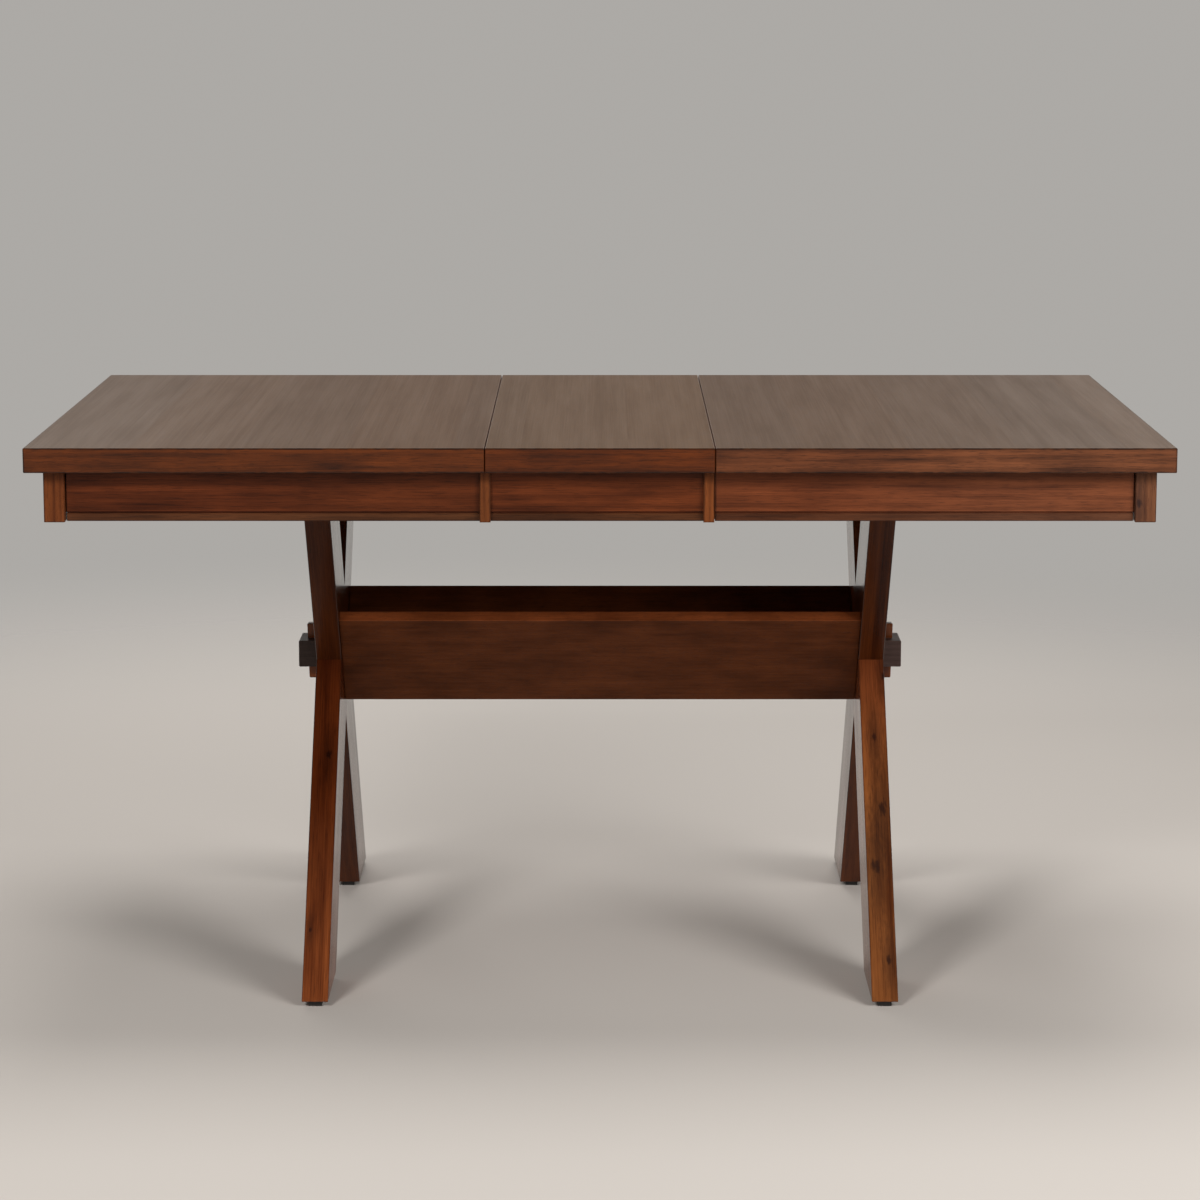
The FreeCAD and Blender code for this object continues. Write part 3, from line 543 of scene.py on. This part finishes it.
# legs: planks that lean by the same angle both ways, darker above the foot with painted shade from the
# table top, deepest on the left front leg
legLook = {
    "lean": 40.0,
    "width": 0.123,
    "fadeAt": {"left": -0.30, "right": -0.08},  # middle of the change, along the leg from its own middle
    "fadeSoft": 0.17,
    # the rear legs' darker tint is painted shade; the upper parts' tints below paint the shade under the
    # table top, deeper on the left as light falls from the right
    "tints": {"left_front_leg": (1.50, 1.42, 1.60), "right_front_leg": (1.30, 1.52, 1.78),
              "left_rear_leg": (0.58, 0.51, 0.45), "right_rear_leg": (0.62, 0.55, 0.49)},
    "upperTints": {"left_front_leg": (0.31, 0.23, 0.20), "right_front_leg": (0.70, 0.53, 0.58),
                   "left_rear_leg": (0.72, 0.72, 0.78), "right_rear_leg": (0.84, 0.84, 0.92)},
    "knots": {                                  # height, place along the table, radius
        "right_front_leg": ((0.397, 0.404, 0.007), (0.321, 0.388, 0.008), (0.235, 0.396, 0.013),
                            (0.1655, 0.383, 0.013), (0.0557, 0.3955, 0.008)),
        "left_front_leg": ((0.0904, -0.3987, 0.004), (0.300, -0.382, 0.008)),
    },
}
for number, name in enumerate(("left_front_leg", "left_rear_leg", "right_front_leg", "right_rear_leg")):
    low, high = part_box(name)
    middle = (low + high) / 2
    way = 1 if "front" in name else -1          # a front leg goes back as it rises
    lean = math.radians(legLook["lean"])
    half = (pastEnds, (high.x - low.x) / 2, legLook["width"] / 2)      # no arris darkening on the slanting end cuts
    turn = (0.0, legLook["lean"] - 90.0, 90.0 * way)
    knots = []
    for knotZ, knotX, radius in legLook["knots"].get(name, ()):
        along = (knotZ - middle.z) / math.cos(lean) - half[2] * math.tan(lean) * way
        knots.append((along, (middle.x - knotX) * way, half[2] * way, radius))
    # painted shade: the rear legs' tint and the darker upper part
    tint = legLook["tints"][name]
    fadeAt = legLook["fadeAt"][name.split("_")[0]]
    bands = [("X", fadeAt, pastEnds, legLook["fadeSoft"], legLook["upperTints"][name])]
    seed = cutSeed("leg", number)
    dress(name, boardMaterial(name, "leg", tuple(middle), half, turn, seed, tint, knots, bands))

# the trough's boards lie parallel to the legs, with painted light on their upper edges
troughLook = {
    "lean": {"front_trough_board": 40.0, "rear_trough_board": -40.0},
    "depth": 0.178,
    "thickness": 0.017,
    "edge": 0.001,
    "edgeSoft": 0.0003,
    # painted light on the boards' upper edges
    "edgeTint": (2.25, 2.1, 2.1),
}
for number, (name, lean) in enumerate(troughLook["lean"].items()):
    low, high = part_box(name)
    half = ((high.x - low.x) / 2, troughLook["thickness"] / 2, troughLook["depth"] / 2)
    turn = (lean, 0.0, 0.0)
    edge = troughLook["edge"]
    bands = [("Z", half[2] - edge, half[2] + edge, troughLook["edgeSoft"], troughLook["edgeTint"])]
    middle = tuple((low + high) / 2)
    seed = cutSeed("trough", number)
    dress(name, boardMaterial(name, "trough", middle, half, turn, seed, bands=bands))

# the stretcher's left tenon is darkened with painted shade and its right tenon lightened with painted
# light, as light falls from the right; the wedges are lightened with painted light, the left one most,
# where it sits in the leg's shade
tenonLook = {"start": 0.40, "soft": 0.005, "left": (0.8, 0.8, 0.85), "right": (1.45, 1.45, 1.6)}
wedgeTints = {"left_wedge": (2.0, 1.85, 1.65), "right_wedge": (1.15, 1.05, 1.05)}
middle, half = boxPlace("stretcher_beam", "x")
bands = [("X", -pastEnds, -tenonLook["start"], tenonLook["soft"], tenonLook["left"]),
         ("X", tenonLook["start"], pastEnds, tenonLook["soft"], tenonLook["right"])]
turn, seed = grainTurns["x"], cutSeed("beam")
dress("stretcher_beam", boardMaterial("stretcher_beam", "beam", middle, half, turn, seed, bands=bands))
for number, (name, tint) in enumerate(wedgeTints.items()):
    middle, half = boxPlace(name, "z")
    seed = cutSeed("wedge", number)
    dress(name, boardMaterial(name, "leg", middle, half, grainTurns["z"], seed, tint))
print("base stained")

# bare hardwood of the runners, bearers and blocks: where the grain runs, by the end of a node's name
bareGrain = {"bearer": "y", "battens": "y", "slide_stops": "y",
             "rail": "x", "slide": "x", "corner_blocks": "x"}
bareNames = [name for name in sorted(nodes) if name.endswith(tuple(bareGrain))]
for number, name in enumerate(bareNames):
    along = next(way for ending, way in bareGrain.items() if name.endswith(ending))
    middle, half = boxPlace(name, along)
    seed = cutSeed("bare", number)
    dress(name, boardMaterial(name, "bare", middle, half, grainTurns[along], seed))
print("bare wood:", len(bareNames))

# zinc plated steel: dull spangles and fine scratches
zincLook = {
    "pale": (0.60, 0.60, 0.57),
    "dull": (0.40, 0.41, 0.40),
    "spangle": 420.0,
    "scratches": (60.0, 1800.0, 1800.0),
    "scratchShare": 0.5,
    "toneEdge": (0.1, 0.9),
    "roughness": (0.28, 0.48),
    "bumpStrength": 0.3,
    "bump": 0.0001,
}


def zincMaterial(look):
    material, tree, shader = newMaterial("zincPlate")
    spot = objectSpot(tree)
    steps = {"Vector": spot, "Scale": look["spangle"]}
    cells = addNode(tree, "ShaderNodeTexVoronoi", steps).outputs["Color"]
    spangle = calc(tree, "MULTIPLY", split(tree, cells)[0], 1 - look["scratchShare"])
    scratch = noise(tree, spot, look["scratches"])
    share = calc(tree, "MULTIPLY_ADD", scratch, look["scratchShare"], spangle)
    feed(tree, shader.inputs["Base Color"], mixColor(tree, share, rgba(look["dull"]), rgba(look["pale"])))
    low, high = look["roughness"]
    feed(tree, shader.inputs["Roughness"], ramp(tree, share, *look["toneEdge"], high, low))
    shader.inputs["Metallic"].default_value = 1.0
    addBump(tree, shader, look["bumpStrength"], look["bump"], scratch)
    return material


# moulded glides: dark grained plastic, scuffed paler near the floor
glideLook = {
    "dark": (0.016, 0.014, 0.013),
    "scuffed": (0.050, 0.042, 0.036),
    "grain": (900.0, 900.0, 900.0),
    "grainEdge": (0.3, 0.7),
    "roughness": (0.50, 0.68),
    "scuffs": ((45.0, 45.0, 45.0), 3.0),
    "scuffEdge": (0.42, 0.62),
    "scuffHeight": 0.002,
    "bumpStrength": 0.4,
    "bump": 0.0001,
}


def glideMaterial(look):
    material, tree, shader = newMaterial("glidePlastic")
    spot = objectSpot(tree)
    leather = noise(tree, spot, look["grain"])
    low = ramp(tree, split(tree, spot)[2], 0.0, look["scuffHeight"], 1.0, 0.0)
    scuff = ramp(tree, noise(tree, spot, *look["scuffs"]), *look["scuffEdge"])
    color = mixColor(tree, calc(tree, "MULTIPLY", low, scuff), rgba(look["dark"]), rgba(look["scuffed"]))
    feed(tree, shader.inputs["Base Color"], color)
    feed(tree, shader.inputs["Roughness"], ramp(tree, leather, *look["grainEdge"], *look["roughness"]))
    addBump(tree, shader, look["bumpStrength"], look["bump"], leather)
    return material


zinc = zincMaterial(zincLook)
for name in sorted(nodes):
    if name.endswith(("lock_plate", "lock_pin", "lock_lever", "studs")):
        dress(name, zinc)
dress("foot_glides", glideMaterial(glideLook))
print("metal and glides done")

# screws and bolts, as shares of a head's radius or height
fastenerLook = {
    "cross": {"crown": 0.3, "crownRadius": 0.82, "recessWidth": 0.24, "recessReach": 1.25,
              "recessDepth": 0.45},
    "hex": {"washer": 0.28, "nutRadius": 0.84, "chamfer": 0.16, "chamferRadius": 0.88},
    "sides": {"shank": 16, "head": 24, "nut": 6},
    "apart": 0.02,          # metres: points nearer than this to each other are of one fastener
    "headFrom": 0.9,        # of the largest radius: a ring wider than this belongs to the head
}


# the fasteners of a node: the middle of each, and the radius of its rings by height, read from its mesh
def readFasteners(name, apart):
    groups = []
    for vertex in nodes[name].data.vertices:
        for group in groups:
            if math.hypot(vertex.co.x - group[0].x, vertex.co.y - group[0].y) < apart:
                group.append(vertex.co)
                break
        else:
            groups.append([vertex.co])
    spots = []
    for group in groups:
        x = (min(point.x for point in group) + max(point.x for point in group)) / 2
        y = (min(point.y for point in group) + max(point.y for point in group)) / 2
        rings = {}
        for point in group:
            height = round(point.z, 4)
            rings[height] = max(rings.get(height, 0.0), math.hypot(point.x - x, point.y - y))
        spots.append((x, y, rings))
    return spots


# one fastener on each point: its outer face at the point, its shank along +Z before it is turned
def fastenerTree(drive, material):
    look, sides = fastenerLook[drive], fastenerLook["sides"]
    tree = bpy.data.node_groups.new(drive + "Fasteners", "GeometryNodeTree")
    tree.interface.new_socket("Geometry", in_out="INPUT", socket_type="NodeSocketGeometry")
    for label in ("Head Radius", "Head Height", "Shank Radius", "Length"):
        tree.interface.new_socket(label, in_out="INPUT", socket_type="NodeSocketFloat")
    tree.interface.new_socket("Turn", in_out="INPUT", socket_type="NodeSocketVector")
    tree.interface.new_socket("Geometry", in_out="OUTPUT", socket_type="NodeSocketGeometry")
    source = tree.nodes.new("NodeGroupInput").outputs
    sink = tree.nodes.new("NodeGroupOutput").inputs

    def scaled(socket, share):
        return calc(tree, "MULTIPLY", socket, share)

    def turned(radiusLow, radiusHigh, depth, height, part):
        steps = {"Vertices": sides[part], "Radius Bottom": radiusLow, "Radius Top": radiusHigh,
                 "Depth": depth}
        cone = addNode(tree, "GeometryNodeMeshCone", steps).outputs["Mesh"]
        lift = combine(tree, 0.0, 0.0, height)
        return addNode(tree, "GeometryNodeTransform", {"Geometry": cone, "Translation": lift}).outputs[0]

    headRadius, headHeight = source["Head Radius"], source["Head Height"]
    shankLength = calc(tree, "SUBTRACT", source["Length"], headHeight)
    pieces = [turned(source["Shank Radius"], source["Shank Radius"], shankLength, headHeight, "shank")]
    if drive == "cross":
        crown = scaled(headHeight, look["crown"])
        rim = scaled(headHeight, 1 - look["crown"])
        crownPiece = turned(scaled(headRadius, look["crownRadius"]), headRadius, crown, 0.0, "head")
        rimPiece = turned(headRadius, headRadius, rim, crown, "head")
        wide, reach = scaled(headRadius, look["recessWidth"]), scaled(headRadius, look["recessReach"])
        deep = scaled(headHeight, look["recessDepth"] * 2)
        for size in (combine(tree, wide, reach, deep), combine(tree, reach, wide, deep)):
            bar = addNode(tree, "GeometryNodeMeshCube", {"Size": size}).outputs["Mesh"]
            cutting = {"Mesh 1": crownPiece, "Mesh 2": bar}
            cut = addNode(tree, "GeometryNodeMeshBoolean", cutting, operation="DIFFERENCE")
            crownPiece = cut.outputs["Mesh"]
        pieces += [crownPiece, rimPiece]
    else:
        washer = scaled(headHeight, look["washer"])
        chamfer = scaled(headHeight, look["chamfer"])
        nut = scaled(headHeight, 1 - look["washer"] - look["chamfer"])
        nutRadius = scaled(headRadius, look["nutRadius"])
        pieces += [turned(scaled(nutRadius, look["chamferRadius"]), nutRadius, chamfer, 0.0, "nut"),
                   turned(nutRadius, nutRadius, nut, chamfer, "nut"),
                   turned(headRadius, headRadius, washer, calc(tree, "ADD", nut, chamfer), "head")]
    joined = addNode(tree, "GeometryNodeJoinGeometry")
    for piece in pieces:
        tree.links.new(piece, joined.inputs[0])
    steps = {"Points": source["Geometry"], "Instance": joined.outputs[0], "Rotation": source["Turn"]}
    placed = addNode(tree, "GeometryNodeInstanceOnPoints", steps).outputs[0]
    real = addNode(tree, "GeometryNodeRealizeInstances", {0: placed}).outputs[0]
    steps = {"Geometry": real, "Material": material}
    feed(tree, sink[0], addNode(tree, "GeometryNodeSetMaterial", steps).outputs[0])
    return tree


def makeFasteners(name, tree):
    spots = readFasteners(name, fastenerLook["apart"])
    rings = spots[0][2]
    low, high = min(rings), max(rings)
    headDown = rings[low] > rings[high]
    outer = low if headDown else high
    headRadius = max(rings.values())
    headFrom = headRadius * fastenerLook["headFrom"]
    headHeight = max(abs(height - outer) for height, radius in rings.items() if radius > headFrom)
    points = bpy.data.meshes.new(name + "_points")
    points.from_pydata([(x, y, min(own) if headDown else max(own)) for x, y, own in spots], [], [])
    holder = bpy.data.objects.new(name + "_holder", points)
    bpy.context.scene.collection.objects.link(holder)
    modifier = holder.modifiers.new("fasteners", "NODES")
    modifier.node_group = tree
    values = {"Head Radius": headRadius, "Head Height": headHeight, "Shank Radius": min(rings.values()),
              "Length": high - low, "Turn": (0.0 if headDown else math.pi, 0.0, 0.0)}
    for item in tree.interface.items_tree:
        if item.in_out == "INPUT" and item.name in values:
            modifier[item.identifier] = values[item.name]
    graph = bpy.context.evaluated_depsgraph_get()
    mesh = bpy.data.meshes.new_from_object(holder.evaluated_get(graph))
    mesh.name = name + "_detail"
    holder.modifiers.remove(modifier)
    bpy.data.objects.remove(holder)
    piece = bpy.data.objects.new(name + "_detail", mesh)
    bpy.context.scene.collection.objects.link(piece)
    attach(piece, nodes[name]["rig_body"])
    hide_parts(name)
    return len(spots)


crossTree = fastenerTree("cross", zinc)
hexTree = fastenerTree("hex", zinc)
count = 0
for name in sorted(nodes):
    if name.endswith("screws"):
        count += makeFasteners(name, crossTree)
    elif name.endswith("bolts"):
        count += makeFasteners(name, hexTree)
print("fasteners:", count)

# floor: pale and plain, fading into the backdrop far from the table, and open from below
floorLook = {"reach": 9.0, "color": (0.56, 0.515, 0.47), "roughness": 0.9, "specular": 0.1,
             "fadeFrom": 1.4, "fadeTo": 3.8}


def makeFloor(look):
    reach = look["reach"]
    mesh = bpy.data.meshes.new("floor")
    corners = [(-reach, -reach, 0.0), (reach, -reach, 0.0), (reach, reach, 0.0), (-reach, reach, 0.0)]
    mesh.from_pydata(corners, [], [(0, 1, 2, 3)])
    floor = bpy.data.objects.new("floor", mesh)
    bpy.context.scene.collection.objects.link(floor)
    material, tree, shader = newMaterial("floorPaint")
    away = ramp(tree, vectorLength(tree, objectSpot(tree)), look["fadeFrom"], look["fadeTo"])
    fromBelow = addNode(tree, "ShaderNodeNewGeometry").outputs["Backfacing"]
    away = calc(tree, "MAXIMUM", away, fromBelow)
    shader.inputs["Base Color"].default_value = rgba(look["color"])
    shader.inputs["Roughness"].default_value = look["roughness"]
    shader.inputs["Specular IOR Level"].default_value = look["specular"]
    clear = addNode(tree, "ShaderNodeBsdfTransparent")
    mixed = addNode(tree, "ShaderNodeMixShader", {0: away, 1: shader.outputs[0], 2: clear.outputs[0]})
    feed(tree, tree.nodes["Material Output"].inputs["Surface"], mixed.outputs[0])
    mesh.materials.append(material)


makeFloor(floorLook)

# backdrop: pale round the horizon for the camera and shiny surfaces, dim overhead, and a soft even light;
# shiny surfaces also see two paler stretches of it, left and right of straight on
worldLook = {"backdrop": (0.415, 0.400, 0.380), "overhead": (0.06, 0.06, 0.06),
             "light": (0.12, 0.12, 0.12), "dimFrom": 0.22, "dimTo": 0.60,
             "glow": (0.98, 0.93, 0.86), "glowRise": (0.08, 0.17), "glowFall": (0.25, 0.50)}
world = bpy.data.worlds.new("backdrop")
world.use_nodes = True
bpy.context.scene.world = world
worldTree = world.node_tree
ray = addNode(worldTree, "ShaderNodeLightPath").outputs
seen = calc(worldTree, "MAXIMUM", ray["Is Camera Ray"], ray["Is Glossy Ray"])
seen = calc(worldTree, "MAXIMUM", seen, ray["Is Transmission Ray"])
way = split(worldTree, addNode(worldTree, "ShaderNodeTexCoord").outputs["Generated"])
dim = ramp(worldTree, way[2], worldLook["dimFrom"], worldLook["dimTo"])
aside = calc(worldTree, "ABSOLUTE", way[0])
glow = calc(worldTree, "MULTIPLY", ramp(worldTree, aside, *worldLook["glowRise"]), ray["Is Glossy Ray"])
glow = calc(worldTree, "MULTIPLY", glow, ramp(worldTree, aside, *worldLook["glowFall"], 1.0, 0.0))
horizon = mixColor(worldTree, glow, rgba(worldLook["backdrop"]), rgba(worldLook["glow"]))
studio = mixColor(worldTree, dim, horizon, rgba(worldLook["overhead"]))
worldColor = mixColor(worldTree, seen, rgba(worldLook["light"]), studio)
feed(worldTree, worldTree.nodes["Background"].inputs["Color"], worldColor)

# lamps: a key at the left front, a broad one nearer at the right, a soft one overhead, a weak one behind
lamps = {
    "key": {"place": (-2.3, -4.2, 3.3), "aim": (0.0, 0.0, 0.4), "size": 1.2, "power": 128.0},
    "broad": {"place": (2.5, -2.7, 2.15), "aim": (0.2, 0.0, 0.5), "size": 1.8, "power": 102.0},
    "overhead": {"place": (0.2, 1.3, 4.6), "aim": (0.0, 0.2, 0.4), "size": 2.6, "power": 125.0},
    "behind": {"place": (-1.6, 4.2, 2.4), "aim": (0.0, 0.0, 0.5), "size": 2.4, "power": 60.0},
}
for name, look in lamps.items():
    light = bpy.data.lights.new(name, "AREA")
    light.shape = "SQUARE"
    light.size = look["size"]
    light.energy = look["power"]
    lamp = bpy.data.objects.new(name, light)
    bpy.context.scene.collection.objects.link(lamp)
    lamp.visible_glossy = False         # the lacquer mirrors the backdrop, not the lamps
    lamp.location = look["place"]
    away = lamp.location - Vector(look["aim"])
    lamp.rotation_euler = away.to_track_quat("Z", "Y").to_euler()

# camera: fitted to the photograph
cameraLook = {"place": (0.0, -5.414, 1.395), "lens": 113.58, "sensor": 36.0, "pitch": 9.479}
cameraData = bpy.data.cameras.new("camera")
cameraData.lens = cameraLook["lens"]
cameraData.sensor_width = cameraLook["sensor"]
camera = bpy.data.objects.new("camera", cameraData)
camera.location = cameraLook["place"]
camera.rotation_euler = (math.radians(90.0 - cameraLook["pitch"]), 0.0, 0.0)
bpy.context.scene.collection.objects.link(camera)
bpy.context.scene.camera = camera
bpy.context.scene.view_settings.view_transform = "Standard"
print("stage, lamps and camera set")
